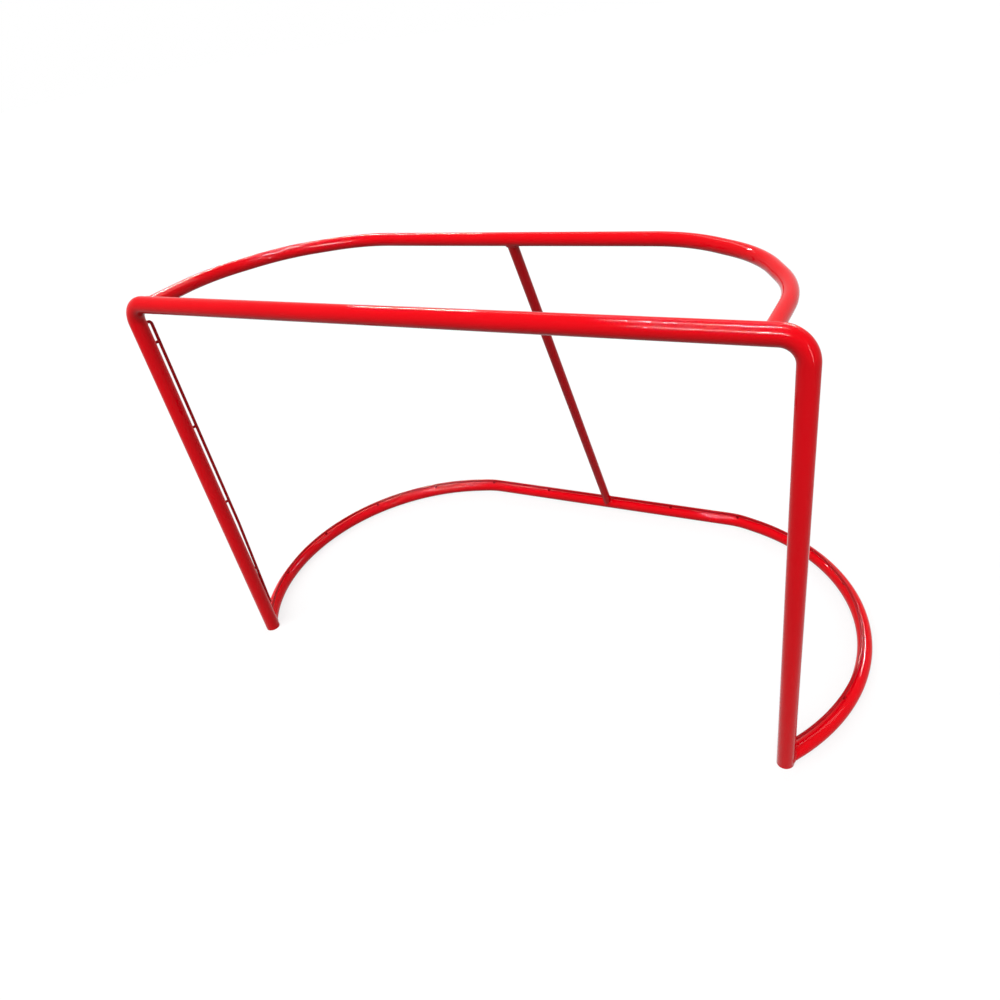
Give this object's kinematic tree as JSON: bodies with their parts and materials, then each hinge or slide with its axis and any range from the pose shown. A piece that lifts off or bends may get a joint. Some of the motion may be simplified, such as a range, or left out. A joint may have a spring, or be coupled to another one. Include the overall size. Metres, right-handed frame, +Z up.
{
  "type": "ice hockey goal frame",
  "caption": "Welded steel ice hockey goal frame: posts and crossbar in one bent pipe, curved base, top shelf, rear strut and lacing rods, with no net.",
  "frame": {"origin": "on the ice, under the middle of the whole goal's width and depth", "axes": "+Z up, +X to the right as seen by a shooter in front of the goal, +Y from the mouth to the back of the goal"},
  "size_m": [2.2064, 1.0938, 1.2675],
  "materials": {
    "pipe_powder_coat": "gloss red powder coat",
    "rod_powder_coat": "gloss red powder coat",
    "stud_powder_coat": "gloss red powder coat",
    "weld_powder_coat": "gloss red powder coat over a rippled bead"
  },
  "bodies": {
    "root": {"base_tube": "pipe_powder_coat", "crossbar_rod": "rod_powder_coat", "crossbar_stud_1": "stud_powder_coat", "crossbar_stud_2": "stud_powder_coat", "crossbar_stud_3": "stud_powder_coat", "crossbar_stud_4": "stud_powder_coat", "crossbar_stud_5": "stud_powder_coat", "crossbar_stud_6": "stud_powder_coat", "front_tube": "pipe_powder_coat", "left_base_rod": "rod_powder_coat", "left_base_rod_post_weld": "weld_powder_coat", "left_base_rod_strut_weld": "weld_powder_coat", "left_base_stud_1": "stud_powder_coat", "left_base_stud_2": "stud_powder_coat", "left_base_stud_3": "stud_powder_coat", "left_base_stud_4": "stud_powder_coat", "left_base_stud_5": "stud_powder_coat", "left_base_stud_6": "stud_powder_coat", "left_base_weld": "weld_powder_coat", "left_crossbar_rod_weld": "weld_powder_coat", "left_post_rod": "rod_powder_coat", "left_post_rod_foot_weld": "weld_powder_coat", "left_post_rod_head_weld": "weld_powder_coat", "left_post_stud_1": "stud_powder_coat", "left_post_stud_2": "stud_powder_coat", "left_post_stud_3": "stud_powder_coat", "left_post_stud_4": "stud_powder_coat", "left_top_weld": "weld_powder_coat", "rear_strut": "pipe_powder_coat", "right_base_rod": "rod_powder_coat", "right_base_rod_post_weld": "weld_powder_coat", "right_base_rod_strut_weld": "weld_powder_coat", "right_base_stud_1": "stud_powder_coat", "right_base_stud_2": "stud_powder_coat", "right_base_stud_3": "stud_powder_coat", "right_base_stud_4": "stud_powder_coat", "right_base_stud_5": "stud_powder_coat", "right_base_stud_6": "stud_powder_coat", "right_base_weld": "weld_powder_coat", "right_crossbar_rod_weld": "weld_powder_coat", "right_post_rod": "rod_powder_coat", "right_post_rod_foot_weld": "weld_powder_coat", "right_post_rod_head_weld": "weld_powder_coat", "right_post_stud_1": "stud_powder_coat", "right_post_stud_2": "stud_powder_coat", "right_post_stud_3": "stud_powder_coat", "right_post_stud_4": "stud_powder_coat", "right_top_weld": "weld_powder_coat", "strut_foot_weld": "weld_powder_coat", "strut_head_weld": "weld_powder_coat", "top_tube": "pipe_powder_coat"}
  },
  "joints": []
}
